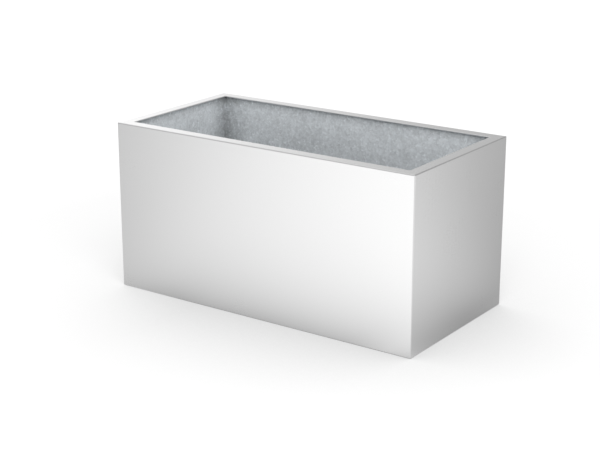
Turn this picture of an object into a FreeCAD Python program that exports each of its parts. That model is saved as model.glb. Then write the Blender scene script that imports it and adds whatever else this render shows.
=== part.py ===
import FreeCAD, Part
import math
import os
import Sketcher

# Rectangular planter: a satin stainless jacket with a folded rim over a galvanised tank that stands
# on a welded frame with four levelling feet. Millimetres, +Z up, +X to the right, front face at -Y.
# The origin is on the floor under the middle of the planter.

# Driving sizes: name and value
SIZES = [
    ("planter_length", "1000"),
    ("planter_width", "500"),
    ("planter_height", "500"),
    ("cut_overrun", "10"),
    # jacket of stainless sheet
    ("jacket_sheet", "2"),
    ("jacket_bend", "3"),
    ("corner_round", "3"),
    ("jacket_ground_gap", "2"),
    ("rim_width", "35"),
    ("rim_hem_depth", "12"),
    ("bottom_hem_depth", "12"),
    ("hem_round", "1.8"),
    ("angle_leg", "14"),
    ("angle_sheet", "2"),
    ("angle_end_gap", "2"),
    # strip between rim and tank
    ("gasket_inset", "8"),
    ("gasket_hem_gap", "1"),
    ("gasket_thickness", "3"),
    # galvanised tank
    ("tank_sheet", "2"),
    ("tank_bend", "3"),
    ("rim_overhang", "8"),
    ("tank_flange_inset", "6"),
    ("tank_bottom_flange", "20"),
    ("tank_floor_level", "60"),
    # boards between jacket and tank
    ("jacket_clearance", "1"),
    ("board_top_gap", "1"),
    # drains
    ("drain_inset", "200"),
    ("drain_bore_radius", "15.15"),
    ("socket_wall", "5"),
    ("socket_length", "28"),
    ("drain_hole_margin", "2"),
    ("strainer_side", "80"),
    ("strainer_height", "30"),
    ("strainer_corner", "4"),
    ("strainer_sheet", "1.5"),
    ("strainer_flange", "10"),
    ("slot_count", "6"),
    ("slot_width", "3.5"),
    ("slot_row", "55"),
    ("slot_foot_gap", "5"),
    ("slot_head_gap", "6"),
    ("tab_width", "30"),
    ("tab_height", "14"),
    ("tab_corner", "3"),
    ("tab_thickness", "2.5"),
    # base frame of square tube
    ("frame_tube", "30"),
    ("tube_wall", "2"),
    ("tube_corner", "3"),
    ("crossbar_share", "0.15"),
    # feet
    ("plate_side", "70"),
    ("plate_thickness", "5"),
    ("plate_corner_cut", "25"),
    ("stud_radius", "6"),
    ("thread_clearance", "0.05"),
    ("plate_hole_clearance", "0.5"),
    ("foot_travel", "12"),
    ("nut_flats", "19"),
    ("weld_nut_thickness", "10"),
    ("lock_nut_thickness", "6"),
    ("collar_flats", "17"),
    ("collar_thickness", "6"),
    ("collar_gap", "0.3"),
    ("pad_side", "50"),
    ("pad_corner_cut", "8"),
    ("pad_edge_height", "4"),
    ("pad_height", "10"),
    ("pad_slope_width", "12"),
    ("pad_socket_depth", "6"),
    ("tread_inset", "1"),
    ("tread_thickness", "3"),
]

# Heights above the floor and other sizes that follow from the driving ones
WORKED_OUT = [
    ("half_length", "planter_length / 2"),
    ("half_width", "planter_width / 2"),
    # jacket
    ("jacket_bend_inside", "jacket_bend - jacket_sheet"),
    ("jacket_bottom", "jacket_ground_gap"),
    ("bottom_hem_top", "jacket_bottom + bottom_hem_depth"),
    ("rim_top", "planter_height"),
    ("rim_under", "rim_top - jacket_sheet"),
    ("hem_under", "rim_under - jacket_sheet"),
    ("angle_bottom", "bottom_hem_top + angle_end_gap"),
    ("angle_length", "hem_under - angle_bottom"),
    # tank
    ("tank_bend_inside", "tank_bend - tank_sheet"),
    ("flange_top", "rim_under - gasket_thickness"),
    ("flange_under", "flange_top - tank_sheet"),
    ("floor_under", "tank_floor_level"),
    ("floor_top", "floor_under + tank_sheet"),
    # frame
    ("frame_top", "floor_under - tank_sheet"),
    ("frame_bottom", "frame_top - frame_tube"),
    ("tube_top_inside", "frame_top - tube_wall"),
    ("tube_bottom_inside", "frame_bottom + tube_wall"),
    ("crossbar_near", "planter_length * crossbar_share - frame_tube / 2"),
    ("crossbar_far", "planter_length * crossbar_share + frame_tube / 2"),
    ("crossbar_near_inside", "crossbar_near + tube_wall"),
    ("crossbar_far_inside", "crossbar_far - tube_wall"),
    # boards
    ("board_bottom", "frame_bottom"),
    ("board_height", "flange_under - board_top_gap - board_bottom"),
    # drains
    ("socket_bottom", "floor_under - socket_length"),
    ("socket_radius", "drain_bore_radius + socket_wall"),
    ("drain_hole_radius", "drain_bore_radius + drain_hole_margin"),
    ("strainer_half", "strainer_side / 2"),
    ("strainer_inside", "strainer_half - strainer_sheet"),
    ("strainer_corner_inside", "strainer_corner - strainer_sheet"),
    ("strainer_inside_height", "strainer_height - strainer_sheet"),
    ("strainer_edge", "strainer_half + strainer_flange"),
    ("strainer_top", "floor_top + strainer_height"),
    ("slot_bottom", "floor_top + strainer_sheet + slot_foot_gap"),
    ("slot_top", "strainer_top - slot_head_gap"),
    ("slot_low", "-(slot_row + slot_width) / 2"),
    ("slot_high", "-(slot_row - slot_width) / 2"),
    ("tab_half", "tab_width / 2"),
    ("tab_top", "strainer_top + tab_height"),
    # feet
    ("pad_bottom", "tread_thickness"),
    ("pad_top", "pad_bottom + pad_height"),
    ("pad_socket_floor", "pad_top - pad_socket_depth"),
    ("pad_socket_radius", "stud_radius + thread_clearance"),
    ("pad_half", "pad_side / 2"),
    ("pad_short", "pad_half - pad_corner_cut"),
    ("pad_slope_height", "pad_height - pad_edge_height"),
    ("tread_half", "pad_half - tread_inset"),
    ("tread_short", "pad_short - tread_inset"),
    ("collar_bottom", "pad_top + collar_gap"),
    ("thread_bore", "stud_radius + thread_clearance"),
    ("plate_hole_radius", "stud_radius + plate_hole_clearance"),
    ("plate_top", "frame_bottom + plate_thickness"),
    ("weld_nut_top", "plate_top + weld_nut_thickness"),
    ("lock_nut_bottom", "frame_bottom - lock_nut_thickness"),
    ("stud_top", "weld_nut_top + foot_travel"),
]

# Depths measured inward from the planter's outside faces. Each gives a place along X and one along Y.
INSETS = [
    ("face", "0"),
    ("sheet_inner", "jacket_sheet"),
    ("bottom_hem_inner", "jacket_sheet * 2"),
    ("rim_inner", "rim_width"),
    ("rim_hem_root", "rim_width - rim_hem_depth"),
    ("corner_centre", "corner_round"),
    ("corner_middle", "corner_round * (1 - sqrt(2) / 2)"),
    ("angle_inner", "jacket_sheet + angle_sheet"),
    ("angle_edge", "jacket_sheet + angle_leg"),
    ("gasket_outer", "gasket_inset"),
    ("gasket_inner", "rim_width - rim_hem_depth - gasket_hem_gap"),
    ("flange_tip", "tank_flange_inset"),
    ("tank_inner", "rim_width - rim_overhang"),
    ("tank_outer", "rim_width - rim_overhang - tank_sheet"),
    ("bottom_flange_tip", "rim_width - rim_overhang - tank_sheet + tank_bottom_flange"),
    ("floor_edge", "rim_width - rim_overhang + tank_bend_inside"),
    ("board_outer", "jacket_sheet * 2 + jacket_clearance"),
    ("tube_outer_inside", "rim_width - rim_overhang - tank_sheet + tube_wall"),
    ("frame_inner", "rim_width - rim_overhang - tank_sheet + frame_tube"),
    ("tube_inner_inside", "rim_width - rim_overhang - tank_sheet + frame_tube - tube_wall"),
    ("plate_inner", "rim_width - rim_overhang - tank_sheet + frame_tube + plate_side"),
    (
        "plate_cut",
        "rim_width - rim_overhang - tank_sheet + frame_tube + plate_side - plate_corner_cut",
    ),
    ("foot", "rim_width - rim_overhang - tank_sheet + frame_tube + plate_side / 2"),
    ("drain", "drain_inset"),
    ("mitre_end", "rim_width - rim_overhang - tank_sheet + frame_tube + cut_overrun"),
    ("mitre_start", "-cut_overrun"),
]

# Hexagons: name of the size across flats that each follows
HEXAGONS = [("nut", "nut_flats"), ("collar", "collar_flats")]

# Side panels: the axis that their depth runs along and the sign of their place on it
SIDES = {"front": ("y", "-"), "back": ("y", ""), "left": ("x", "-"), "right": ("x", "")}

# Corners: signs of x and y
CORNERS = {
    "front_left": ("-", "-"),
    "front_right": ("", "-"),
    "back_left": ("-", ""),
    "back_right": ("", ""),
}

doc = FreeCAD.newDocument("planter")
sheet = doc.addObject("Spreadsheet::Sheet", "sizes")
nodes = {}


def fill_sheet():
    """Writes the driving sizes as plain numbers and the others as formulas of them."""
    cells = list(SIZES)
    cells += [(name, "=" + formula) for name, formula in WORKED_OUT]
    for name, formula in INSETS:
        cells.append((name + "_x", "=half_length - (" + formula + ")"))
        cells.append((name + "_y", "=half_width - (" + formula + ")"))
    for name, flats in HEXAGONS:
        cells.append((name + "_half_flats", "=" + flats + " / 2"))
        cells.append((name + "_point", "=" + flats + " / sqrt(3)"))
        cells.append((name + "_half_point", "=" + flats + " / (2 * sqrt(3))"))
    for row, (name, content) in enumerate(cells, start=1):
        sheet.set("A%d" % row, name)
        sheet.set("B%d" % row, content)
        sheet.setAlias("B%d" % row, name)
    doc.recompute()


def number(name):
    """Value of a cell, with the sign that stands before its name."""
    if name == "0":
        return 0.0
    value = float(sheet.get(name.lstrip("-")))
    return -value if name.startswith("-") else value


def cell(name):
    """Expression that reads a cell, with the sign that stands before its name."""
    return "-sizes." + name[1:] if name.startswith("-") else "sizes." + name


def new_body(name):
    body = doc.addObject("PartDesign::Body", name)
    body.Label = name
    nodes[name] = body
    return body


def origin_plane(body, role):
    return next(f for f in body.Origin.OriginFeatures if f.Role == role)


def bound(sketch, constraint, name):
    """Adds a constraint and ties it to a cell."""
    index = sketch.addConstraint(constraint)
    if name != "0":
        sketch.setExpression("Constraints[%d]" % index, cell(name))


def add_piece(sketch, curve, start):
    """Adds a line or arc and says which of its two ends lies at start."""
    index = sketch.addGeometry(curve, False)
    if sketch.getPoint(index, 1).distanceToPoint(start) < sketch.getPoint(index, 2).distanceToPoint(start):
        return index, 1, 2
    return index, 2, 1


def draw_loop(sketch, entries):
    """Closed outline. An entry (x, y) is a sharp corner and (x, y, round) a rounded one; an entry
    ("arc", round, x, y) between two sharp corners joins them by an arc about that centre."""
    corners = [entry for entry in entries if entry[0] != "arc"]
    arcs = {}
    passed = 0
    for entry in entries:
        if entry[0] == "arc":
            arcs[passed - 1] = entry
        else:
            passed += 1
    count = len(corners)
    places = [FreeCAD.Vector(number(c[0]), number(c[1]), 0) for c in corners]
    arrive = list(places)
    leave = list(places)
    for i, corner in enumerate(corners):
        if len(corner) > 2:
            back = (places[i - 1] - places[i]).normalize()
            ahead = (places[(i + 1) % count] - places[i]).normalize()
            arrive[i] = places[i] + back * number(corner[2])
            leave[i] = places[i] + ahead * number(corner[2])
    edges = []
    for i in range(count):
        start = leave[i]
        end = arrive[(i + 1) % count]
        if i in arcs:
            centre = FreeCAD.Vector(number(arcs[i][2]), number(arcs[i][3]), 0)
            outward = ((start - centre) + (end - centre)).normalize()
            curve = Part.Arc(start, centre + outward * number(arcs[i][1]), end)
        else:
            curve = Part.LineSegment(start, end)
        edges.append(add_piece(sketch, curve, start))
    fixed = [set() for _ in range(count)]
    for i, (edge, first, _) in enumerate(edges):
        after = (i + 1) % count
        if i in arcs:
            bound(sketch, Sketcher.Constraint("Radius", edge, number(arcs[i][1])), arcs[i][1])
            continue
        for axis, alignment, distance in ((0, "Vertical", "DistanceX"), (1, "Horizontal", "DistanceY")):
            if corners[i][axis] == corners[after][axis]:
                name = corners[i][axis]
                sketch.addConstraint(Sketcher.Constraint(alignment, edge))
                bound(sketch, Sketcher.Constraint(distance, -1, 1, edge, first, number(name)), name)
                fixed[i].add(axis)
                fixed[after].add(axis)
    for i, corner in enumerate(corners):
        before, _, before_end = edges[i - 1]
        edge, first, _ = edges[i]
        if len(corner) > 2:
            inward = (arrive[i] - places[i]) + (leave[i] - places[i])
            centre = places[i] + inward
            middle = centre - inward.normalize() * number(corner[2])
            arc, arc_first, arc_last = add_piece(
                sketch, Part.Arc(arrive[i], middle, leave[i]), arrive[i]
            )
            sketch.addConstraint(Sketcher.Constraint("Tangent", before, before_end, arc, arc_first))
            sketch.addConstraint(Sketcher.Constraint("Tangent", arc, arc_last, edge, first))
            bound(sketch, Sketcher.Constraint("Radius", arc, number(corner[2])), corner[2])
            continue
        sketch.addConstraint(Sketcher.Constraint("Coincident", before, before_end, edge, first))
        for axis, distance in ((0, "DistanceX"), (1, "DistanceY")):
            if axis not in fixed[i]:
                name = corner[axis]
                bound(sketch, Sketcher.Constraint(distance, -1, 1, edge, first, number(name)), name)


def draw_circle(sketch, x, y, radius):
    centre = FreeCAD.Vector(number(x), number(y), 0)
    circle = sketch.addGeometry(Part.Circle(centre, FreeCAD.Vector(0, 0, 1), number(radius)), False)
    bound(sketch, Sketcher.Constraint("Radius", circle, number(radius)), radius)
    bound(sketch, Sketcher.Constraint("DistanceX", -1, 1, circle, 3, number(x)), x)
    bound(sketch, Sketcher.Constraint("DistanceY", -1, 1, circle, 3, number(y)), y)


def new_sketch(body, name, role, loops=(), circles=(), level=None):
    sketch = body.newObject("Sketcher::SketchObject", body.Name + "_" + name)
    sketch.AttachmentSupport = [(origin_plane(body, role), "")]
    sketch.MapMode = "FlatFace"
    if level:
        sketch.setExpression("AttachmentOffset.Base.z", cell(level))
    for loop in loops:
        draw_loop(sketch, loop)
    for circle in circles:
        draw_circle(sketch, *circle)
    return sketch


def pad(body, profile, length, both_ways=False):
    feature = body.newObject("PartDesign::Pad", body.Name + "_pad")
    feature.Profile = profile
    feature.setExpression("Length", cell(length))
    if both_ways:
        feature.SideType = "Symmetric"
    return feature


def pocket(body, name, profile, depth=None, upward=False):
    """Pocket to a depth, or through everything both ways, checked to have taken material away."""
    doc.recompute()
    volume = body.Shape.Volume
    feature = body.newObject("PartDesign::Pocket", body.Name + "_" + name)
    feature.Profile = profile
    if depth:
        feature.setExpression("Length", cell(depth))
        feature.Reversed = upward
    else:
        feature.Type = "ThroughAll"
        feature.SideType = "Symmetric"
    doc.recompute()
    if body.Shape.Volume >= volume:
        raise RuntimeError(name + " cuts nothing from " + body.Label)
    return feature


def revolve(body, profile):
    feature = body.newObject("PartDesign::Revolution", body.Name + "_revolution")
    feature.Profile = profile
    feature.ReferenceAxis = (profile, ["V_Axis"])
    return feature


def slope_top(body, feature, level, drop, width):
    """Slopes the top of a block down to all its sides."""
    doc.recompute()
    top = number(level)
    rim = []
    for place, edge in enumerate(feature.Shape.Edges, start=1):
        if all(math.isclose(end.Z, top) for end in edge.Vertexes):
            rim.append("Edge%d" % place)
    chamfer = body.newObject("PartDesign::Chamfer", body.Name + "_slope")
    chamfer.Base = (feature, rim)
    chamfer.ChamferType = "Two distances"
    chamfer.setExpression("Size", cell(drop))
    chamfer.setExpression("Size2", cell(width))
    return chamfer


def in_row(body, name, feature, profile, length, count):
    """Repeats a feature evenly over a length along its sketch's own X axis."""
    pattern = body.newObject("PartDesign::LinearPattern", body.Name + "_" + name)
    pattern.Originals = [feature]
    pattern.Direction = (profile, ["H_Axis"])
    pattern.setExpression("Length", cell(length))
    pattern.setExpression("Occurrences", cell(count))
    body.Tip = pattern


def set_place(piece, x="0", y="0"):
    """Ties a piece's place on the floor plan to cells."""
    for axis, name in (("x", x), ("y", y)):
        if name != "0":
            piece.setExpression("Placement.Base." + axis, cell(name))


def section(side, points):
    """Points (inset, level[, round]) of a profile, in the section plane of a side panel."""
    axis, sign = SIDES[side]
    return [(sign + point[0] + "_" + axis,) + point[1:] for point in points]


def plan(side, depth, along):
    """Place on the floor plan from a depth behind a side's face and one short of its far end."""
    axis, sign = SIDES[side]
    if axis == "y":
        return along + "_x", sign + depth + "_y"
    return sign + depth + "_x", along + "_y"


def folded_bar(name, side, loops, rounded=False):
    """Bar of one profile along a side of the planter, mitred at both ends to meet its neighbours.
    The outside edge of a rounded bar is dressed to the corner radius."""
    body = new_body(name)
    along_x = SIDES[side][0] == "y"
    profile = new_sketch(
        body, "profile", "YZ_Plane" if along_x else "XZ_Plane", [section(side, loop) for loop in loops]
    )
    pad(body, profile, "planter_length" if along_x else "planter_width", both_ways=True)
    mitre = [
        plan(side, "mitre_start", "mitre_start"),
        plan(side, "mitre_end", "mitre_start"),
        plan(side, "mitre_end", "mitre_end"),
    ]
    if rounded:
        mitre += [
            plan(side, "corner_middle", "corner_middle"),
            ("arc", "corner_round") + plan(side, "corner_centre", "corner_centre"),
            plan(side, "face", "corner_centre"),
            plan(side, "mitre_start", "corner_centre"),
        ]
    cut = pocket(body, "mitre", new_sketch(body, "mitre_plan", "XY_Plane", [mitre]))
    mirror = body.newObject("PartDesign::Mirrored", body.Name + "_other_end")
    mirror.Originals = [cut]
    mirror.MirrorPlane = (origin_plane(body, "YZ_Plane" if along_x else "XZ_Plane"), [""])
    body.Tip = mirror
    return body


def rectangle(x_low, x_high, y_low, y_high, corner=None):
    """Outline of a rectangle from the names of its limits, with its corners rounded if one is given."""
    extra = (corner,) if corner else ()
    return [
        (x_low, y_low) + extra,
        (x_high, y_low) + extra,
        (x_high, y_high) + extra,
        (x_low, y_high) + extra,
    ]


def cut_square(half, short):
    """Outline of a square with its corners cut off, from half its side and half what is left of it."""
    return [
        (half, "-" + short),
        (half, short),
        (short, half),
        ("-" + short, half),
        ("-" + half, short),
        ("-" + half, "-" + short),
        ("-" + short, "-" + half),
        (short, "-" + half),
    ]


def hexagon(name):
    """Outline of a hexagon with a point towards +X."""
    point = name + "_point"
    half = name + "_half_point"
    flat = name + "_half_flats"
    return [
        (point, "0"),
        (half, flat),
        ("-" + half, flat),
        ("-" + point, "0"),
        ("-" + half, "-" + flat),
        (half, "-" + flat),
    ]


# Jacket


def jacket_panel(side):
    """Stainless panel with its rim bent inward and safe hems at the rim's edge and at the floor."""
    outline = [
        ("face", "jacket_bottom", "hem_round"),
        ("face", "rim_top", "jacket_bend"),
        ("rim_inner", "rim_top", "hem_round"),
        ("rim_inner", "hem_under", "hem_round"),
        ("rim_hem_root", "hem_under"),
        ("rim_hem_root", "rim_under"),
        ("sheet_inner", "rim_under", "jacket_bend_inside"),
        ("sheet_inner", "bottom_hem_top"),
        ("bottom_hem_inner", "bottom_hem_top"),
        ("bottom_hem_inner", "jacket_bottom", "hem_round"),
    ]
    folded_bar("jacket_" + side, side, [outline], rounded=True)


def jacket_corner(corner):
    """Backing angle behind the welded upright corner of the jacket."""
    sx, sy = CORNERS[corner]
    body = new_body("jacket_corner_" + corner)
    outline = [
        (sx + "sheet_inner_x", sy + "sheet_inner_y"),
        (sx + "angle_edge_x", sy + "sheet_inner_y"),
        (sx + "angle_edge_x", sy + "angle_inner_y"),
        (sx + "angle_inner_x", sy + "angle_inner_y"),
        (sx + "angle_inner_x", sy + "angle_edge_y"),
        (sx + "sheet_inner_x", sy + "angle_edge_y"),
    ]
    pad(body, new_sketch(body, "plan", "XY_Plane", [outline], level="angle_bottom"), "angle_length")


def rim_gasket(side):
    """Rubber strip stuck under the rim, which rests on the tank's top flange."""
    outline = rectangle("gasket_outer", "gasket_inner", "flange_top", "rim_under")
    folded_bar("rim_gasket_" + side, side, [outline])


# Tank


def tank_wall(side):
    """Galvanised wall with its top flange bent outward and its bottom flange bent inward."""
    outline = [
        ("flange_tip", "flange_under"),
        ("flange_tip", "flange_top"),
        ("tank_inner", "flange_top", "tank_bend"),
        ("tank_inner", "floor_under", "tank_bend_inside"),
        ("bottom_flange_tip", "floor_under"),
        ("bottom_flange_tip", "frame_top"),
        ("tank_outer", "frame_top", "tank_bend"),
        ("tank_outer", "flange_under", "tank_bend_inside"),
    ]
    folded_bar("tank_" + side, side, [outline])


def tank_floor():
    """Floor plate on the walls' bottom flanges, with the two drain holes."""
    body = new_body("tank_floor")
    outline = rectangle("-floor_edge_x", "floor_edge_x", "-floor_edge_y", "floor_edge_y")
    holes = [(sign + "drain_x", "0", "drain_hole_radius") for sign in ("-", "")]
    pad(body, new_sketch(body, "plan", "XY_Plane", [outline], holes, "floor_under"), "tank_sheet")


def insulation_board(side):
    """Rigid foam board that fills the space between jacket and tank."""
    board = doc.addObject("Part::Box", "insulation_" + side)
    board.Label = "insulation_" + side
    nodes[board.Label] = board
    axis, sign = SIDES[side]
    low = "-board_outer" if sign else "tank_outer"
    if axis == "y":
        board.setExpression("Length", "sizes.board_outer_x * 2")
        board.setExpression("Width", "sizes.board_outer_y - sizes.tank_outer_y")
        set_place(board, "-board_outer_x", low + "_y")
    else:
        board.setExpression("Length", "sizes.board_outer_x - sizes.tank_outer_x")
        board.setExpression("Width", "sizes.tank_outer_y * 2")
        set_place(board, low + "_x", "-tank_outer_y")
    board.setExpression("Height", cell("board_height"))
    board.setExpression("Placement.Base.z", cell("board_bottom"))


# Drains


def drain_socket(side, sign):
    """Threaded socket welded under the floor, concentric with the wider hole in the floor plate."""
    body = new_body("drain_socket_" + side)
    wall = rectangle("drain_bore_radius", "socket_radius", "socket_bottom", "floor_under")
    revolve(body, new_sketch(body, "profile", "XZ_Plane", [wall]))
    set_place(body, sign + "drain_x")


def strainer(side, sign):
    """Slotted box of thin sheet that keeps the soil off a drain, with a flange that it stands on and
    an upright tab to lift it by."""
    body = new_body("strainer_" + side)
    box = rectangle(
        "-strainer_half", "strainer_half", "-strainer_half", "strainer_half", "strainer_corner"
    )
    pad(body, new_sketch(body, "box_plan", "XY_Plane", [box], level="floor_top"), "strainer_height")
    flange = rectangle(
        "-strainer_edge", "strainer_edge", "-strainer_edge", "strainer_edge", "strainer_corner"
    )
    pad(body, new_sketch(body, "flange_plan", "XY_Plane", [flange], level="floor_top"), "strainer_sheet")
    inside = rectangle(
        "-strainer_inside",
        "strainer_inside",
        "-strainer_inside",
        "strainer_inside",
        "strainer_corner_inside",
    )
    inside_sketch = new_sketch(body, "inside_plan", "XY_Plane", [inside], level="floor_top")
    pocket(body, "inside", inside_sketch, "strainer_inside_height", upward=True)
    for name, role in (("front_slot", "XZ_Plane"), ("end_slot", "YZ_Plane")):
        slot = rectangle("slot_low", "slot_high", "slot_bottom", "slot_top")
        slot_sketch = new_sketch(body, name + "_outline", role, [slot])
        cut = pocket(body, name, slot_sketch)
        in_row(body, name + "s", cut, slot_sketch, "slot_row", "slot_count")
    tab = [
        ("-tab_half", "strainer_top"),
        ("tab_half", "strainer_top"),
        ("tab_half", "tab_top", "tab_corner"),
        ("-tab_half", "tab_top", "tab_corner"),
    ]
    pad(body, new_sketch(body, "tab_outline", "XZ_Plane", [tab]), "tab_thickness", both_ways=True)
    set_place(body, sign + "drain_x")


# Base frame


def base_rail(side):
    """Square tube under the edge of the tank."""
    outside = rectangle("tank_outer", "frame_inner", "frame_bottom", "frame_top", "tube_corner")
    inside = rectangle(
        "tube_outer_inside", "tube_inner_inside", "tube_bottom_inside", "tube_top_inside"
    )
    folded_bar("base_rail_" + side, side, [outside, inside])


def crossbar(side, sign):
    """Square tube between the front and back rails."""
    body = new_body("crossbar_" + side)
    outside = rectangle(
        sign + "crossbar_near", sign + "crossbar_far", "frame_bottom", "frame_top", "tube_corner"
    )
    inside = rectangle(
        sign + "crossbar_near_inside",
        sign + "crossbar_far_inside",
        "tube_bottom_inside",
        "tube_top_inside",
    )
    bar = pad(body, new_sketch(body, "profile", "XZ_Plane", [outside, inside]), "frame_inner_y", True)
    bar.setExpression("Length", "sizes.frame_inner_y * 2")


# Feet


def foot_plate(corner):
    """Gusset plate welded into the corner of the base frame, with the hole for the stud."""
    sx, sy = CORNERS[corner]
    body = new_body("foot_plate_" + corner)
    outline = [
        (sx + "frame_inner_x", sy + "frame_inner_y"),
        (sx + "plate_inner_x", sy + "frame_inner_y"),
        (sx + "plate_inner_x", sy + "plate_cut_y"),
        (sx + "plate_cut_x", sy + "plate_inner_y"),
        (sx + "frame_inner_x", sy + "plate_inner_y"),
    ]
    hole = (sx + "foot_x", sy + "foot_y", "plate_hole_radius")
    pad(body, new_sketch(body, "plan", "XY_Plane", [outline], [hole], "frame_bottom"), "plate_thickness")


def nut(name, corner, bottom, thickness):
    """Hexagon nut on one corner's stud."""
    sx, sy = CORNERS[corner]
    body = doc.addObject("PartDesign::Body", name + "_" + corner)
    holes = [("0", "0", "thread_bore")]
    pad(body, new_sketch(body, "plan", "XY_Plane", [hexagon("nut")], holes, bottom), thickness)
    set_place(body, sx + "foot_x", sy + "foot_y")
    return body


def nut_set(name, bottom, thickness):
    """The four equal nuts of the four feet."""
    group = doc.addObject("Part::Compound", name)
    group.Label = name
    group.Links = [nut(name, corner, bottom, thickness) for corner in CORNERS]
    nodes[name] = group


def foot_stud(corner):
    """Threaded stud with a hexagon collar above the pad that takes the spanner."""
    sx, sy = CORNERS[corner]
    body = new_body("foot_stud_" + corner)
    shank = rectangle("0", "stud_radius", "pad_socket_floor", "stud_top")
    revolve(body, new_sketch(body, "profile", "XZ_Plane", [shank]))
    collar = new_sketch(body, "collar_outline", "XY_Plane", [hexagon("collar")], [], "collar_bottom")
    pad(body, collar, "collar_thickness")
    set_place(body, sx + "foot_x", sy + "foot_y")


def foot_pad(corner):
    """Square moulded foot with a sloping top and the socket that the stud turns in."""
    sx, sy = CORNERS[corner]
    body = new_body("foot_pad_" + corner)
    edge = cut_square("pad_half", "pad_short")
    block = pad(body, new_sketch(body, "plan", "XY_Plane", [edge], level="pad_bottom"), "pad_height")
    slope_top(body, block, "pad_top", "pad_slope_height", "pad_slope_width")
    socket = new_sketch(body, "socket", "XY_Plane", [], [("0", "0", "pad_socket_radius")], "pad_top")
    pocket(body, "socket_cut", socket, "pad_socket_depth")
    set_place(body, sx + "foot_x", sy + "foot_y")


def foot_tread(corner):
    """Rubber pad under the foot."""
    sx, sy = CORNERS[corner]
    body = new_body("foot_tread_" + corner)
    outline = cut_square("tread_half", "tread_short")
    pad(body, new_sketch(body, "plan", "XY_Plane", [outline]), "tread_thickness")
    set_place(body, sx + "foot_x", sy + "foot_y")


def build():
    fill_sheet()
    for side in SIDES:
        jacket_panel(side)
        rim_gasket(side)
        tank_wall(side)
        insulation_board(side)
        base_rail(side)
    tank_floor()
    for side, sign in (("left", "-"), ("right", "")):
        drain_socket(side, sign)
        strainer(side, sign)
        crossbar(side, sign)
    for corner in CORNERS:
        jacket_corner(corner)
        foot_plate(corner)
        foot_stud(corner)
        foot_pad(corner)
        foot_tread(corner)
    nut_set("foot_weld_nuts", "plate_top", "weld_nut_thickness")
    nut_set("foot_lock_nuts", "lock_nut_bottom", "lock_nut_thickness")
    doc.recompute()


def check():
    """Stops on any object that failed and on any piece without a sound solid."""
    for item in doc.Objects:
        if "Invalid" in item.State or "Error" in item.State:
            raise RuntimeError(item.Label + " failed: " + str(item.State))
    for name, item in nodes.items():
        if item.Shape.isNull() or not item.Shape.isValid() or not item.Shape.Solids:
            raise RuntimeError(name + " has no sound solid")


def write():
    os.makedirs("parts", exist_ok=True)
    for name, item in nodes.items():
        item.Shape.exportStep(os.path.join("parts", name + ".step"))
    print(len(nodes), "pieces written")


build()
check()
write()
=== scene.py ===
import math

import bmesh
import bpy
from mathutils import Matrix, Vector


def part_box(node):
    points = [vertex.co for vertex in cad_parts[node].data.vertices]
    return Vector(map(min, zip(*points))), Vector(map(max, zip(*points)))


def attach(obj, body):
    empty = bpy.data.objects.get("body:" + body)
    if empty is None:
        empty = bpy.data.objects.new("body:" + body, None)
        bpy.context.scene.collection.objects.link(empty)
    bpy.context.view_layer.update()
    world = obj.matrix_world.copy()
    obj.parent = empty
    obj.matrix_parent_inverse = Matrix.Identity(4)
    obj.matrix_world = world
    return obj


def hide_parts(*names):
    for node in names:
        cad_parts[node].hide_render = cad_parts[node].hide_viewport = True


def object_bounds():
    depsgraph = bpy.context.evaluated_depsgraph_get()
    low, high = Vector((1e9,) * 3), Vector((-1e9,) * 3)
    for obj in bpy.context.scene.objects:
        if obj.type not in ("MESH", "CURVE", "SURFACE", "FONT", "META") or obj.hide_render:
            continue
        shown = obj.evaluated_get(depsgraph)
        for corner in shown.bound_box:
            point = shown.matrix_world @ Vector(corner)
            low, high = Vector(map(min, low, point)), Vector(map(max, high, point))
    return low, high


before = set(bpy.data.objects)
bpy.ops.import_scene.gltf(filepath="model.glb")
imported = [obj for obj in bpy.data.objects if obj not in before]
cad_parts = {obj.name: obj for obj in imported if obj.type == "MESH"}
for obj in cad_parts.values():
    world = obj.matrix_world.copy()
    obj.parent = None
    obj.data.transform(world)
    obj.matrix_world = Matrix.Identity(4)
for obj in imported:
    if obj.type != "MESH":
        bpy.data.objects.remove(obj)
CAD_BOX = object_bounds()

SIDES = ("front", "back", "left", "right")
ENDS = ("left", "right")
CORNERS = ("front_left", "front_right", "back_left", "back_right")


# Camera

CAMERA_PLACE = (2.2467, -3.2405, 1.4535)
CAMERA_AIM = (-0.0289, 0.0, 0.2092)
CAMERA_LENS = 85.45


def turn_to(item, aim):
    """Turns the camera or a lamp so that it looks at a point."""
    look = Vector(aim) - item.location
    item.rotation_euler = look.to_track_quat("-Z", "Y").to_euler()


def set_camera():
    """Stands the camera to the front right, above the rim, as in the photograph."""
    data = bpy.data.cameras.new("view")
    data.lens = CAMERA_LENS
    camera = bpy.data.objects.new("view", data)
    bpy.context.scene.collection.objects.link(camera)
    camera.location = CAMERA_PLACE
    turn_to(camera, CAMERA_AIM)
    bpy.context.scene.camera = camera


# Materials

# Most of a noise's values lie between these two
NOISE_LOW = 0.3
NOISE_HIGH = 0.7


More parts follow.
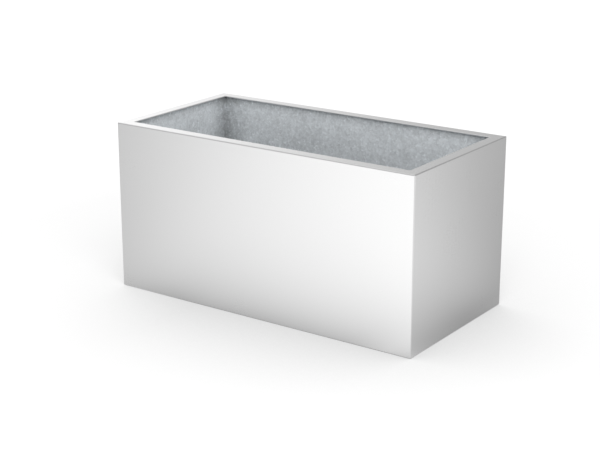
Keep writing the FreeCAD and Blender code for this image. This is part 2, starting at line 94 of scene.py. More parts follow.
class Finish:
    """A material or a world under construction. Each call adds nodes and returns an output."""

    def __init__(self, name, kind=bpy.data.materials):
        self.owner = kind.new(name)
        self.owner.use_nodes = True
        self.nodes = self.owner.node_tree.nodes
        self.links = self.owner.node_tree.links
        self.nodes.clear()

    def feed(self, socket, value):
        if isinstance(value, bpy.types.NodeSocket):
            self.links.new(value, socket)
        else:
            socket.default_value = value

    def node(self, kind, inputs=None, **settings):
        """Any node, with its inputs by name or number. This one is returned whole."""
        node = self.nodes.new(kind)
        for name, value in settings.items():
            setattr(node, name, value)
        for name, value in (inputs or {}).items():
            self.feed(node.inputs[name], value)
        return node

    def place(self, scale=(1.0, 1.0, 1.0)):
        """Object coordinates, stretched by a scale."""
        place = self.node("ShaderNodeTexCoord").outputs["Object"]
        return self.node("ShaderNodeMapping", {"Vector": place, "Scale": scale}).outputs["Vector"]

    def axes(self, place):
        """The three numbers of a place."""
        return self.node("ShaderNodeSeparateXYZ", {0: place}).outputs

    def noise(self, vector, scale, detail=2.0, roughness=0.5, output="Fac"):
        inputs = {"Vector": vector, "Scale": scale, "Detail": detail, "Roughness": roughness}
        return self.node("ShaderNodeTexNoise", inputs).outputs[output]

    def spread(self, value, low, high, to_low, to_high, curve="LINEAR"):
        """Maps a value from one range to another and holds it there."""
        inputs = {
            "Value": value,
            "From Min": low,
            "From Max": high,
            "To Min": to_low,
            "To Max": to_high,
        }
        node = self.node("ShaderNodeMapRange", inputs, interpolation_type=curve)
        return node.outputs["Result"]

    def vary(self, noise, to_low, to_high):
        """Maps a noise from its usual range to another."""
        return self.spread(noise, NOISE_LOW, NOISE_HIGH, to_low, to_high)

    def sum_up(self, operation, first, second=0.0, third=0.0):
        node = self.nodes.new("ShaderNodeMath")
        node.operation = operation
        for place, value in enumerate((first, second, third)):
            self.feed(node.inputs[place], value)
        return node.outputs[0]

    def add(self, first, *others):
        for other in others:
            first = self.sum_up("ADD", first, other)
        return first

    def slope(self, spot, along_x, along_y, level=0.0):
        """A level that rises or falls evenly along X and along Y."""
        value = self.sum_up("MULTIPLY_ADD", spot[0], along_x, level)
        return self.sum_up("MULTIPLY_ADD", spot[1], along_y, value)

    def length(self, vector):
        return self.node("ShaderNodeVectorMath", {0: vector}, operation="LENGTH").outputs["Value"]

    def blend(self, share, first, second):
        """Colour between two others."""
        node = self.nodes.new("ShaderNodeMix")
        node.data_type = "RGBA"
        self.feed(node.inputs[0], share)
        self.feed(node.inputs[6], first)
        self.feed(node.inputs[7], second)
        return node.outputs[2]

    def relief(self, height, distance, strength):
        inputs = {"Height": height, "Distance": distance, "Strength": strength}
        return self.node("ShaderNodeBump", inputs).outputs["Normal"]

    def surface(self, **inputs):
        """The shader itself. A name's underscores stand for spaces."""
        shader = self.node("ShaderNodeBsdfPrincipled")
        for name, value in inputs.items():
            self.feed(shader.inputs[name.replace("_", " ")], value)
        return self.close("ShaderNodeOutputMaterial", shader.outputs[0])

    def close(self, kind, shader):
        """Leads a shader to the output. The material or world is then ready."""
        self.node(kind, {"Surface": shader})
        return self.owner


def grey(value, tint=(1.0, 1.0, 1.0)):
    return (value * tint[0], value * tint[1], value * tint[2], 1.0)


STEEL_DARK, STEEL_PALE = grey(0.875), grey(0.885)
STEEL_LINE_SHARE = 0.3
STEEL_ROUGHNESS = (0.275, 0.285)
STEEL_LINE_ROUGHNESS = 0.004
STEEL_LINE_DEPTH = 0.000008


def satin_steel(name, grain):
    """Satin stainless sheet, ground in fine lines along one axis."""
    finish = Finish(name)
    lines = finish.noise(finish.place(grain), 1.0, detail=3.0, roughness=0.6)
    cloud = finish.noise(finish.place(), 5.0)
    tone = finish.add(
        finish.vary(cloud, 0.0, 1.0 - STEEL_LINE_SHARE), finish.vary(lines, 0.0, STEEL_LINE_SHARE)
    )
    rough = finish.add(
        finish.vary(lines, -STEEL_LINE_ROUGHNESS, STEEL_LINE_ROUGHNESS),
        finish.vary(cloud, *STEEL_ROUGHNESS),
    )
    return finish.surface(
        Base_Color=finish.blend(tone, STEEL_DARK, STEEL_PALE),
        Metallic=1.0,
        Roughness=rough,
        Normal=finish.relief(lines, STEEL_LINE_DEPTH, 0.2),
    )


ZINC_TINT = (0.96, 0.995, 1.02)
ZINC_DARK, ZINC_PALE = grey(0.32, ZINC_TINT), grey(0.98, ZINC_TINT)
ZINC_RANGE = (-0.45, 0.2)

# How far each of these moves the zinc's tone, to either side or up
SPANGLE_TONE = 0.06
MOTTLE_TONE = 0.1
DRIFT_TONE = 0.035
FLECK_TONE = 0.16
FLECK_RANGE = (0.60, 0.70)

# Spangle is about 12 mm across, and its edges are bent by up to this much
SPANGLE_SCALE = 85.0
SPANGLE_BEND = 0.012
BEND_SCALE = 60.0

# The walls' inner corners lie this far from the middle, X and Y added up. Painted shade darkens the
# zinc beside them
TANK_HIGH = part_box("tank_floor")[1]
CORNER_REACH = TANK_HIGH[0] + TANK_HIGH[1]
CORNER_SHADE_WIDTH = 0.085
CORNER_SHADE_CURVE = 1.2
CORNER_SHADE_TONE = 0.3

# The rim's folded edge hangs down to this level. Painted shade darkens the zinc from a little below
# it up to the top
HEM_LEVEL = 0.488
HEM_SHADE = 0.02
HEM_SHADE_TONE = 0.14

# Painted shade and light: the zinc is darker deeper down the walls and lighter near their top
DEEP_LEVEL, SHALLOW_LEVEL = 0.36, 0.46
DEEP_SHADE_TONE, SHALLOW_LIGHT_TONE = 0.08, -0.05


def spangle(finish, place):
    """Crystals with bent edges. Gives three random numbers for each."""
    warp = finish.noise(place, BEND_SCALE, detail=3.0, roughness=0.6, output="Color")
    inputs = {0: warp, 1: (-0.5, -0.5, -0.5)}
    warp = finish.node("ShaderNodeVectorMath", inputs, operation="ADD").outputs[0]
    inputs = {0: warp, "Scale": SPANGLE_BEND}
    warp = finish.node("ShaderNodeVectorMath", inputs, operation="SCALE").outputs[0]
    bent = finish.node("ShaderNodeVectorMath", {0: place, 1: warp}, operation="ADD").outputs[0]
    cells = finish.node("ShaderNodeTexVoronoi", {"Vector": bent, "Scale": SPANGLE_SCALE})
    return finish.node("ShaderNodeSeparateColor", {"Color": cells.outputs["Color"]}).outputs


def hot_dip_zinc(name):
    """Hot-dip galvanised sheet: feathery spangle between fine mottling, with small bright flecks.
    Painted shade darkens it under the rim, deeper down, and beside the upright corners, and painted
    light makes it lighter near the top of the walls."""
    finish = Finish(name)
    place = finish.place()
    crystal = spangle(finish, place)
    mottle = finish.noise(place, 150.0, detail=3.0, roughness=0.7)
    drift = finish.noise(place, 9.0)
    fleck = finish.noise(place, 120.0, detail=1.0)
    level = finish.add(
        finish.spread(crystal[0], 0.0, 1.0, -SPANGLE_TONE, SPANGLE_TONE),
        finish.vary(mottle, -MOTTLE_TONE, MOTTLE_TONE),
        finish.vary(drift, -DRIFT_TONE, DRIFT_TONE),
        finish.spread(fleck, *FLECK_RANGE, 0.0, FLECK_TONE),
    )
    spot = finish.axes(place)
    # Painted shade: the zinc darkens towards the upright inner corners
    along = finish.add(finish.sum_up("ABSOLUTE", spot[0]), finish.sum_up("ABSOLUTE", spot[1]))
    painted_corner_shade = finish.spread(along, CORNER_REACH - CORNER_SHADE_WIDTH, CORNER_REACH, 0.0, 1.0)
    painted_corner_shade = finish.sum_up("MULTIPLY", finish.sum_up("POWER", painted_corner_shade, CORNER_SHADE_CURVE), CORNER_SHADE_TONE)
    # Painted shade under the rim's folded edge
    painted_hem_shade = finish.spread(spot[2], HEM_LEVEL - HEM_SHADE, HEM_LEVEL, 0.0, HEM_SHADE_TONE)
    # Painted shade deeper down and painted light near the top of the walls
    painted_depth_shade = finish.spread(spot[2], DEEP_LEVEL, SHALLOW_LEVEL, DEEP_SHADE_TONE, SHALLOW_LIGHT_TONE)
    level = finish.sum_up("SUBTRACT", level, finish.add(painted_corner_shade, painted_hem_shade))
    level = finish.sum_up("SUBTRACT", level, painted_depth_shade)
    return finish.surface(
        Base_Color=finish.blend(finish.spread(level, *ZINC_RANGE, 0.0, 1.0), ZINC_DARK, ZINC_PALE),
        Metallic=0.3,
        Roughness=finish.spread(crystal[1], 0.0, 1.0, 0.42, 0.58),
        Normal=finish.relief(finish.add(mottle, crystal[2]), 0.00004, 0.3),
    )


def dull_zinc(name):
    """Galvanised tube and plate that has gone matt."""
    finish = Finish(name)
    cloud = finish.noise(finish.place(), 45.0, detail=4.0, roughness=0.6)
    dark, pale = grey(0.48, ZINC_TINT), grey(0.64, ZINC_TINT)
    return finish.surface(
        Base_Color=finish.blend(finish.vary(cloud, 0.0, 1.0), dark, pale),
        Metallic=0.7,
        Roughness=finish.vary(cloud, 0.45, 0.6),
        Normal=finish.relief(cloud, 0.00005, 0.3),
    )


def bright_zinc(name):
    """Zinc-plated fittings."""
    finish = Finish(name)
    cloud = finish.noise(finish.place(), 90.0, detail=3.0)
    dark, pale = grey(0.70, ZINC_TINT), grey(0.80, ZINC_TINT)
    return finish.surface(
        Base_Color=finish.blend(finish.vary(cloud, 0.0, 1.0), dark, pale),
        Metallic=1.0,
        Roughness=finish.vary(cloud, 0.24, 0.36),
    )


def black_rubber(name):
    finish = Finish(name)
    grain = finish.noise(finish.place(), 700.0)
    return finish.surface(
        Base_Color=finish.blend(grain, grey(0.028), grey(0.05)),
        Roughness=0.8,
        Normal=finish.relief(grain, 0.0002, 0.25),
    )


FOAM_DARK, FOAM_PALE = (0.40, 0.57, 0.67, 1.0), (0.54, 0.70, 0.78, 1.0)
FOAM_STREAKS = (2.5, 2.5, 110.0)
FOAM_CELL_SCALE = 900.0


def foam_board(name):
    """Extruded foam board with level streaks in its skin and fine closed cells."""
    finish = Finish(name)
    place = finish.place()
    cells = finish.node("ShaderNodeTexVoronoi", {"Vector": place, "Scale": FOAM_CELL_SCALE})
    cloud = finish.noise(place, 12.0, detail=3.0)
    skin = finish.noise(finish.place(FOAM_STREAKS), 1.0, detail=3.0, roughness=0.6)
    tone = finish.add(finish.vary(cloud, 0.0, 0.45), finish.vary(skin, 0.0, 0.55))
    return finish.surface(
        Base_Color=finish.blend(tone, FOAM_DARK, FOAM_PALE),
        Roughness=finish.vary(skin, 0.65, 0.8),
        Normal=finish.relief(cells.outputs["Distance"], 0.0002, 0.3),
    )


def moulded_plastic(name):
    finish = Finish(name)
    grain = finish.noise(finish.place(), 1100.0)
    return finish.surface(
        Base_Color=finish.blend(grain, grey(0.030), grey(0.042)),
        Roughness=finish.vary(grain, 0.42, 0.5),
        Normal=finish.relief(grain, 0.00008, 0.25),
    )


# Grain runs along the axis with the small number: lines are about 0.4 mm apart
ALONG_X = (60.0, 2500.0, 2500.0)
ALONG_Y = (2500.0, 60.0, 2500.0)
ALONG_Z = (2500.0, 2500.0, 60.0)

satin_long = satin_steel("satin_steel_along_the_length", ALONG_X)
satin_cross = satin_steel("satin_steel_across_the_ends", ALONG_Y)
satin_up = satin_steel("satin_steel_upright", ALONG_Z)
tank_zinc = hot_dip_zinc("hot_dip_zinc")
tube_zinc = dull_zinc("dull_zinc")
fitting_zinc = bright_zinc("bright_zinc")
rubber = black_rubber("black_rubber")
foam = foam_board("foam_board")
plastic = moulded_plastic("moulded_plastic")


def dress(node, material):
    """Gives a node of the model its material."""
    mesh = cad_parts[node].data
    mesh.materials.clear()
    mesh.materials.append(material)


def dress_nodes():
    for side in SIDES:
        dress("jacket_" + side, satin_long if side in ("front", "back") else satin_cross)
        dress("rim_gasket_" + side, rubber)
        dress("tank_" + side, tank_zinc)
        dress("insulation_" + side, foam)
        dress("base_rail_" + side, tube_zinc)
    dress("tank_floor", tank_zinc)
    for end in ENDS:
        dress("drain_socket_" + end, fitting_zinc)
        dress("strainer_" + end, fitting_zinc)
        dress("crossbar_" + end, tube_zinc)
    for corner in CORNERS:
        dress("jacket_corner_" + corner, satin_up)
        dress("foot_plate_" + corner, tube_zinc)
        dress("foot_stud_" + corner, fitting_zinc)
        dress("foot_pad_" + corner, plastic)
        dress("foot_tread_" + corner, rubber)
    dress("foot_weld_nuts", fitting_zinc)
    dress("foot_lock_nuts", fitting_zinc)


# Pieces


def add_piece(name, mesh, body, nodes=()):
    """Puts a finished mesh in the scene on its body, in place of the nodes that it stands for."""
    piece = bpy.data.objects.new(name, mesh)
    bpy.context.scene.collection.objects.link(piece)
    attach(piece, body)
    if nodes:
        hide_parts(*nodes)
    return piece


def middle(node):
    """Middle of a node's box, seen from above."""
    low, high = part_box(node)
    return ((low[0] + high[0]) / 2, (low[1] + high[1]) / 2)


class Turned:
    """A skin of rings round upright axes. A ring has one (radius, height) pair for each step."""

    def __init__(self):
        self.points = []
        self.faces = []

    def add(self, centre, rings, hollow=False):
        start = len(self.points)
        steps = len(rings[0])
        for ring in rings:
            for step, (radius, height) in enumerate(ring):
                angle = math.tau * step / steps
                x = centre[0] + radius * math.cos(angle)
                y = centre[1] + radius * math.sin(angle)
                self.points.append((x, y, height))
        count = len(rings)
        for lower in range(count if hollow else count - 1):
            here = start + lower * steps
            above = start + (lower + 1) % count * steps
            for step in range(steps):
                ahead = (step + 1) % steps
                self.faces.append((here + step, here + ahead, above + ahead, above + step))
        if not hollow:
            self.faces.append(tuple(start + step for step in reversed(range(steps))))
            self.faces.append(tuple(start + (count - 1) * steps + step for step in range(steps)))

    def mesh(self, name, material):
        mesh = bpy.data.meshes.new(name)
        mesh.from_pydata(self.points, [], self.faces)
        mesh.materials.append(material)
        mesh.shade_smooth()
        mesh.set_sharp_from_angle(angle=SHARP_ANGLE)
        return mesh


SHARP_ANGLE = math.radians(32)
ROUND_STEPS = 36
RINGS_TO_A_PITCH = 8
THREAD_CREST = 0.12
HUB_SHARE = 0.96
CORNER_SLOPE = math.tan(math.radians(30))


def circle(radius, height, steps=ROUND_STEPS):
    return [(radius, height)] * steps


def hex_reach(flats, step, steps=ROUND_STEPS):
    """Distance from a hexagon's middle to its edge. A corner lies on the first step."""
    angle = math.tau * step / steps
    return flats / 2 / math.cos(angle % math.radians(60) - math.radians(30))


def hex_rings(flats, low, high):
    """Sides of a hexagon whose corners are turned off at both ends."""
    hub = flats / 2 * HUB_SHARE
    lower, upper = [], []
    for step in range(ROUND_STEPS):
        reach = hex_reach(flats, step)
        drop = (reach - hub) * CORNER_SLOPE
        lower.append((reach, low + drop))
        upper.append((reach, high - drop))
    return [circle(hub, low), lower, upper, circle(hub, high)]


def thread_rings(root, crest, pitch, low, high, steps=ROUND_STEPS):
    """Rings of a screw thread between two radii, from one height to the other."""
    count = math.ceil(abs(high - low) / pitch * RINGS_TO_A_PITCH)
    rings = []
    for place in range(count + 1):
        height = low + (high - low) * place / count
        ring = []
        for step in range(steps):
            phase = (height / pitch - step / steps) % 1.0
            share = abs(2.0 * phase - 1.0) * (1.0 + 2 * THREAD_CREST) - THREAD_CREST
            ring.append((root + (crest - root) * min(max(share, 0.0), 1.0), height))
        rings.append(ring)
    return rings


# Levelling feet: M12 studs, each with a hexagon to turn it by, and the nuts on them

STUD_RADIUS = 0.006
STUD_ROOT = 0.0051
STUD_PITCH = 0.00175
STUD_END = 0.001
COLLAR_FLATS = 0.017
COLLAR_LOW = 0.0133
COLLAR_HIGH = 0.0193
NUT_FLATS = 0.019
NUT_CREST = 0.00605
NUT_ROOT = 0.0066


def make_stud(corner):
    node = "foot_stud_" + corner
    low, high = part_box(node)
    rings = [circle(STUD_RADIUS - STUD_END, low[2]), circle(STUD_RADIUS, low[2] + STUD_END)]
    rings.append(circle(STUD_RADIUS, COLLAR_LOW))
    rings += hex_rings(COLLAR_FLATS, COLLAR_LOW, COLLAR_HIGH)
    rings.append(circle(STUD_ROOT, COLLAR_HIGH))
    rings += thread_rings(
        STUD_ROOT, STUD_RADIUS, STUD_PITCH, COLLAR_HIGH + STUD_END, high[2] - STUD_END
    )
    rings.append(circle(STUD_ROOT - STUD_END / 2, high[2]))
    skin = Turned()
    skin.add(middle(node), rings)
    mesh = skin.mesh("threaded_stud", fitting_zinc)
    add_piece("threaded_stud_" + corner, mesh, "stud_" + corner, [node])


def make_nuts(name, node):
    """Four nuts of one set, one on each stud."""
    low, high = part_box(node)
    skin = Turned()
    for corner in CORNERS:
        rings = hex_rings(NUT_FLATS, low[2], high[2])
        rings.append(circle(NUT_ROOT, high[2]))
        rings += thread_rings(
            NUT_CREST, NUT_ROOT, STUD_PITCH, high[2] - STUD_END / 2, low[2] + STUD_END / 2
        )
        rings.append(circle(NUT_ROOT, low[2]))
        skin.add(middle("foot_stud_" + corner), rings, hollow=True)
    add_piece(name, skin.mesh(name, fitting_zinc), "tank_unit", [node])


# Drain sockets with an inside pipe thread of one inch

SOCKET_STEPS = 60
SOCKET_BORE = 0.01515
SOCKET_ROOT = 0.01663
SOCKET_PITCH = 0.002309
SOCKET_EDGE = 0.001


def make_socket(end):
    node = "drain_socket_" + end
    low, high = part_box(node)
    radius = (high[0] - low[0]) / 2
    rings = [
        circle(radius - SOCKET_EDGE, low[2], SOCKET_STEPS),
        circle(radius, low[2] + SOCKET_EDGE, SOCKET_STEPS),
        circle(radius, high[2], SOCKET_STEPS),
        circle(SOCKET_ROOT, high[2], SOCKET_STEPS),
    ]
    top, bottom = high[2] - SOCKET_EDGE, low[2] + SOCKET_EDGE
    rings += thread_rings(SOCKET_BORE, SOCKET_ROOT, SOCKET_PITCH, top, bottom, SOCKET_STEPS)
    rings.append(circle(SOCKET_ROOT, low[2], SOCKET_STEPS))
    skin = Turned()
    skin.add(middle(node), rings, hollow=True)
    mesh = skin.mesh("threaded_socket", fitting_zinc)
    add_piece("threaded_socket_" + end, mesh, "tank_unit", [node])


# Pressed and moulded pieces, with their edges softened

SAME_POINT = 0.000001
FLAT_ANGLE = math.radians(0.5)
EDGE_ANGLE = math.radians(40)
STRAINER_EDGE = 0.0004
FOOT_EDGE = 0.0008
GUSSET_EDGE = 0.0006


def joined_copy(node, change):
    """A copy of a node's mesh, with its loose triangles joined and a change made to it."""
    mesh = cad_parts[node].data.copy()
    work = bmesh.new()
    work.from_mesh(mesh)
    bmesh.ops.remove_doubles(work, verts=work.verts, dist=SAME_POINT)
    change(work)
    work.to_mesh(mesh)
    work.free()
    return mesh


def clear_flats(work):
    """Takes out the edges that lie in a flat face, so that only real edges are rounded."""
    bmesh.ops.dissolve_limit(work, angle_limit=FLAT_ANGLE, verts=work.verts, edges=work.edges)


def soften(name, node, width, material, body):
    """Stands a copy of a node in its place, with its edges rounded."""
    mesh = joined_copy(node, clear_flats)
    mesh.materials.clear()
    mesh.materials.append(material)
    piece = add_piece(name, mesh, body, [node])
    edges = piece.modifiers.new("soft_edges", "BEVEL")
    edges.width = width
    edges.segments = 2
    edges.limit_method = "ANGLE"
    edges.angle_limit = EDGE_ANGLE


def make_soft_pieces():
    for end in ENDS:
        body = "strainer_" + end
        name = "slotted_strainer_" + end
        soften(name, body, STRAINER_EDGE, fitting_zinc, body)
    for corner in CORNERS:
        body, pad, plate = "foot_" + corner, "foot_pad_" + corner, "foot_plate_" + corner
        soften("moulded_foot_" + corner, pad, FOOT_EDGE, plastic, body)
        soften("gusset_" + corner, plate, GUSSET_EDGE, tube_zinc, "tank_unit")


# Geometry node trees


class Tree:
    """A geometry node tree under construction, with named inputs and one output."""

    def __init__(self, name, inputs):
        self.group = bpy.data.node_groups.new(name, "GeometryNodeTree")
        for label, kind in inputs.items():
            self.group.interface.new_socket(label, in_out="INPUT", socket_type=kind)
        self.group.interface.new_socket("Result", in_out="OUTPUT", socket_type="NodeSocketGeometry")
        self.given = self.group.nodes.new("NodeGroupInput").outputs

    def node(self, kind, inputs=None, **settings):
        node = self.group.nodes.new(kind)
        for name, value in settings.items():
            setattr(node, name, value)
        for name, value in (inputs or {}).items():
            if isinstance(value, bpy.types.NodeSocket):
                self.group.links.new(value, node.inputs[name])
            else:
                node.inputs[name].default_value = value
        return node

    def math(self, operation, first, second=0.0):
        return self.node("ShaderNodeMath", {0: first, 1: second}, operation=operation).outputs[0]

    def finish(self, geometry):
        """Closes the tree with plain geometry in one material."""
        plain = self.node("GeometryNodeRealizeInstances", {0: geometry}).outputs[0]
        dressed = self.node(
            "GeometryNodeSetMaterial", {0: plain, "Material": self.given["Material"]}
        ).outputs[0]
        output = self.group.nodes.new("NodeGroupOutput")
        self.group.links.new(dressed, output.inputs[0])
        return self.group


def grow(name, mesh, tree, values):
    """Runs a tree on a mesh and gives back the plain mesh that comes out."""
    seed = bpy.data.objects.new(name, mesh)
    bpy.context.scene.collection.objects.link(seed)
    modifier = seed.modifiers.new("tree", "NODES")
    modifier.node_group = tree
    for item in tree.interface.items_tree:
        if item.in_out == "INPUT" and item.name in values:
            modifier[item.identifier] = values[item.name]
    evaluated = seed.evaluated_get(bpy.context.evaluated_depsgraph_get())
    result = bpy.data.meshes.new_from_object(evaluated)
    seed.modifiers.remove(modifier)
    bpy.data.objects.remove(seed)
    result.name = name
    return result


# Weld beads

BEAD_SIDES = 8
RIPPLE_POINTS = 4
RIPPLE_PITCH_SHARE = 0.9
RIPPLE_DEPTH_SHARE = 0.22
UNSTEADY_SCALE = 140.0
UNSTEADY_SHARE = 0.25

TANK_BEAD = 0.0022
FRAME_BEAD = 0.0016
FITTING_BEAD = 0.0015
STITCH_BEAD = 0.0014


def bead_tree():
    """A rippled bead along each edge path of the mesh."""
    tree = Tree(
        "weld_bead",
        {
            "Paths": "NodeSocketGeometry",
            "Bead Radius": "NodeSocketFloat",
            "Ripple Pitch": "NodeSocketFloat",
            "Ripple Share": "NodeSocketFloat",
            "Material": "NodeSocketMaterial",
        },
    )
    given = tree.given
    path = tree.node("GeometryNodeMeshToCurve", {0: given["Paths"]}).outputs[0]
    spacing = tree.math("DIVIDE", given["Ripple Pitch"], RIPPLE_POINTS)
    path = tree.node(
        "GeometryNodeResampleCurve", {"Curve": path, "Length": spacing}, mode="LENGTH"
    ).outputs[0]
    run = tree.node("GeometryNodeSplineParameter").outputs["Length"]
    wave = tree.math("FRACT", tree.math("DIVIDE", run, given["Ripple Pitch"]))
    dip = tree.math("MULTIPLY", tree.math("MULTIPLY", wave, wave), given["Ripple Share"])
    unsteady = tree.node("ShaderNodeTexNoise", {"Scale": UNSTEADY_SCALE, "Detail": 1.0})
    swell = tree.math("MULTIPLY", unsteady.outputs["Fac"], UNSTEADY_SHARE)
    size = tree.math("ADD", tree.math("SUBTRACT", 1.0, dip), swell)
    profile = tree.node(
        "GeometryNodeCurvePrimitiveCircle",
        {"Resolution": BEAD_SIDES, "Radius": given["Bead Radius"]},
    ).outputs[0]
    bead = tree.node(
        "GeometryNodeCurveToMesh",
        {"Curve": path, "Profile Curve": profile, "Scale": size, "Fill Caps": True},
    ).outputs[0]
    return tree.finish(bead)


def path_mesh(name, paths):
    """Mesh of bare edges. A path is (points, closed)."""
    points, edges = [], []
    for path, closed in paths:
        start = len(points)
        points += path
        edges += [(start + place, start + place + 1) for place in range(len(path) - 1)]
        if closed:
            edges.append((start + len(path) - 1, start))
    mesh = bpy.data.meshes.new(name)
    mesh.from_pydata(points, edges, [])
    return mesh


WELD_BEAD = bead_tree()


def weld(name, paths, radius, material, body):
    values = {
        "Bead Radius": radius,
        "Ripple Pitch": radius * RIPPLE_PITCH_SHARE,
        "Ripple Share": RIPPLE_DEPTH_SHARE,
        "Material": material,
    }
    add_piece(name, grow(name, path_mesh(name, paths), WELD_BEAD, values), body)


def rectangle_path(low, high, height):
    x0, y0, x1, y1 = low[0], low[1], high[0], high[1]
    return ([(x0, y0, height), (x1, y0, height), (x1, y1, height), (x0, y1, height)], True)


TANK_BEAD_STOP = 0.004


def make_tank_welds():
    """Bead round the floor plate and up the four inner corners, to just short of the tank's top."""
    low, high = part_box("tank_floor")
    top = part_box("rim_gasket_front")[0][2] - TANK_BEAD_STOP
    paths = [rectangle_path(low, high, high[2])]
    for x in (low[0], high[0]):
        for y in (low[1], high[1]):
            paths.append(([(x, y, high[2]), (x, y, top)], False))
    weld("tank_weld", paths, TANK_BEAD, tank_zinc, "tank_unit")


FRAME_INSET = 0.0015


def make_frame_welds():
    """Beads at the frame's mitres, crossbars and foot plates, sunk in by an inset where they would
    stand out past the tube."""
    front_low, front_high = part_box("base_rail_front")
    back_low, back_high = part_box("base_rail_back")
    left_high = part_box("base_rail_left")[1]
    bottom, top = front_low[2], front_high[2]
    inner_x, outer_x = -left_high[0], front_high[0]
    inner_y, outer_y = back_low[1], back_high[1]
    plate_low, plate_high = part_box("foot_plate_back_right")
    inset = FRAME_INSET
    paths = []
    for side_x in (-1, 1):
        for side_y in (-1, 1):
            inner = (side_x * inner_x, side_y * inner_y)
            outer = (side_x * (outer_x - 2 * inset), side_y * (outer_y - 2 * inset))
            paths.append(([inner + (top - inset,), inner + (plate_high[2],)], False))
            paths.append(([inner + (bottom + inset / 2,), outer + (bottom + inset / 2,)], False))
            far_x = side_x * plate_low[0]
            far_y = side_y * plate_low[1]
            for level in (plate_low[2] + inset / 3, plate_high[2]):
                paths.append(([(far_x, inner[1], level), inner + (level,)], False))
                paths.append(([inner + (level,), (inner[0], far_y, level)], False))
    for end in ENDS:
        low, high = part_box("crossbar_" + end)
        for y in (low[1], high[1]):
            path = [(low[0], y, high[2] - inset), (low[0], y, low[2]), (high[0], y, low[2])]
            path.append((high[0], y, high[2] - inset))
            paths.append((path, False))
    weld("frame_weld", paths, FRAME_BEAD, tube_zinc, "tank_unit")


def round_path(centre, radius, height, steps):
    points = []
    for step in range(steps):
        angle = math.tau * step / steps
        x = centre[0] + radius * math.cos(angle)
        y = centre[1] + radius * math.sin(angle)
        points.append((x, y, height))
    return (points, True)


SOCKET_BEAD_DROP = 0.0004
HEX_CORNERS = 6


def make_fitting_welds():
    """Beads round the drain sockets, where they meet the floor, and round the four fixed nuts."""
    paths = []
    for end in ENDS:
        socket = "drain_socket_" + end
        low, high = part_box(socket)
        radius = (high[0] - low[0]) / 2
        top = high[2] - SOCKET_BEAD_DROP
        paths.append(round_path(middle(socket), radius, top, SOCKET_STEPS))
    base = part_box("foot_weld_nuts")[0][2]
    for corner in CORNERS:
        centre = middle("foot_stud_" + corner)
        paths.append(round_path(centre, hex_reach(NUT_FLATS, 0), base, HEX_CORNERS))
    weld("fitting_weld", paths, FITTING_BEAD, fitting_zinc, "tank_unit")


STITCH_LENGTH = 0.03
STITCH_GAP = 0.07


def make_jacket_welds():
    """Short runs of weld that hold the backing angles in the jacket's corners."""
    paths = []
    for corner in CORNERS:
        low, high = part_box("jacket_corner_" + corner)
        far = (max(low[0], high[0], key=abs), max(low[1], high[1], key=abs))
        near = (min(low[0], high[0], key=abs), min(low[1], high[1], key=abs))
        height = low[2] + STITCH_GAP / 2
        while height + STITCH_LENGTH < high[2]:
            for x, y in ((near[0], far[1]), (far[0], near[1])):
                paths.append(([(x, y, height), (x, y, height + STITCH_LENGTH)], False))
            height += STITCH_LENGTH + STITCH_GAP
    weld("jacket_stitch_weld", paths, STITCH_BEAD, satin_up, "jacket")


# Treads with ribs underneath

RIB_COUNT = 9
RIB_WIDTH = 0.003
RIB_HEIGHT = 0.0012
RIB_SHORTER = 0.016

# A rib's block is this many times as high as what shows of it, and its middle lies at half of that
RIB_BLOCK = 1.5


def rib_tree():
    """Sole block with a row of ribs under it."""
    tree = Tree(
        "rib_row",
        {
            "Sole": "NodeSocketGeometry",
            "Rib Count": "NodeSocketInt",
            "First Rib": "NodeSocketVector",
            "Rib Step": "NodeSocketVector",
            "Rib Size": "NodeSocketVector",
            "Material": "NodeSocketMaterial",
        },
    )
    given = tree.given
    row = tree.node(
        "GeometryNodeMeshLine",
        {
            "Count": given["Rib Count"],
            "Start Location": given["First Rib"],
            "Offset": given["Rib Step"],
        },
    ).outputs[0]
    rib = tree.node("GeometryNodeMeshCube", {"Size": given["Rib Size"]}).outputs[0]
    ribs = tree.node("GeometryNodeInstanceOnPoints", {"Points": row, "Instance": rib}).outputs[0]
    both = tree.node("GeometryNodeJoinGeometry")
    tree.group.links.new(given["Sole"], both.inputs[0])
    tree.group.links.new(ribs, both.inputs[0])
    return tree.finish(both.outputs[0])


RIB_ROW = rib_tree()


def make_tread(corner):
    """Tread whose sole is raised by the height of its ribs, which reach a little into it."""
    node = "foot_tread_" + corner
    low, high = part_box(node)

    def raise_sole(work):
        for point in work.verts:
            point.co.z = max(point.co.z, low[2] + RIB_HEIGHT)

    sole = joined_copy(node, raise_sole)
    width = high[0] - low[0]
    step = (width - 4 * RIB_WIDTH) / (RIB_COUNT - 1)
    values = {
        "Rib Count": RIB_COUNT,
        "First Rib": (low[0] + 2 * RIB_WIDTH, middle(node)[1], low[2] + RIB_HEIGHT * RIB_BLOCK / 2),
        "Rib Step": (step, 0.0, 0.0),
        "Rib Size": (RIB_WIDTH, width - RIB_SHORTER, RIB_HEIGHT * RIB_BLOCK),
        "Material": rubber,
    }
    mesh = grow("ribbed_tread", sole, RIB_ROW, values)
    add_piece("ribbed_tread_" + corner, mesh, "foot_" + corner, [node])


def make_pieces():
    for corner in CORNERS:
        make_stud(corner)
        make_tread(corner)
    for end in ENDS:
        make_socket(end)
    make_nuts("welded_nuts", "foot_weld_nuts")
    make_nuts("lock_nuts", "foot_lock_nuts")
    make_soft_pieces()
    make_tank_welds()
    make_frame_welds()
    make_fitting_welds()
    make_jacket_welds()


# Studio

WHITE = grey(1.0)
FLOOR_REACH = 14.0

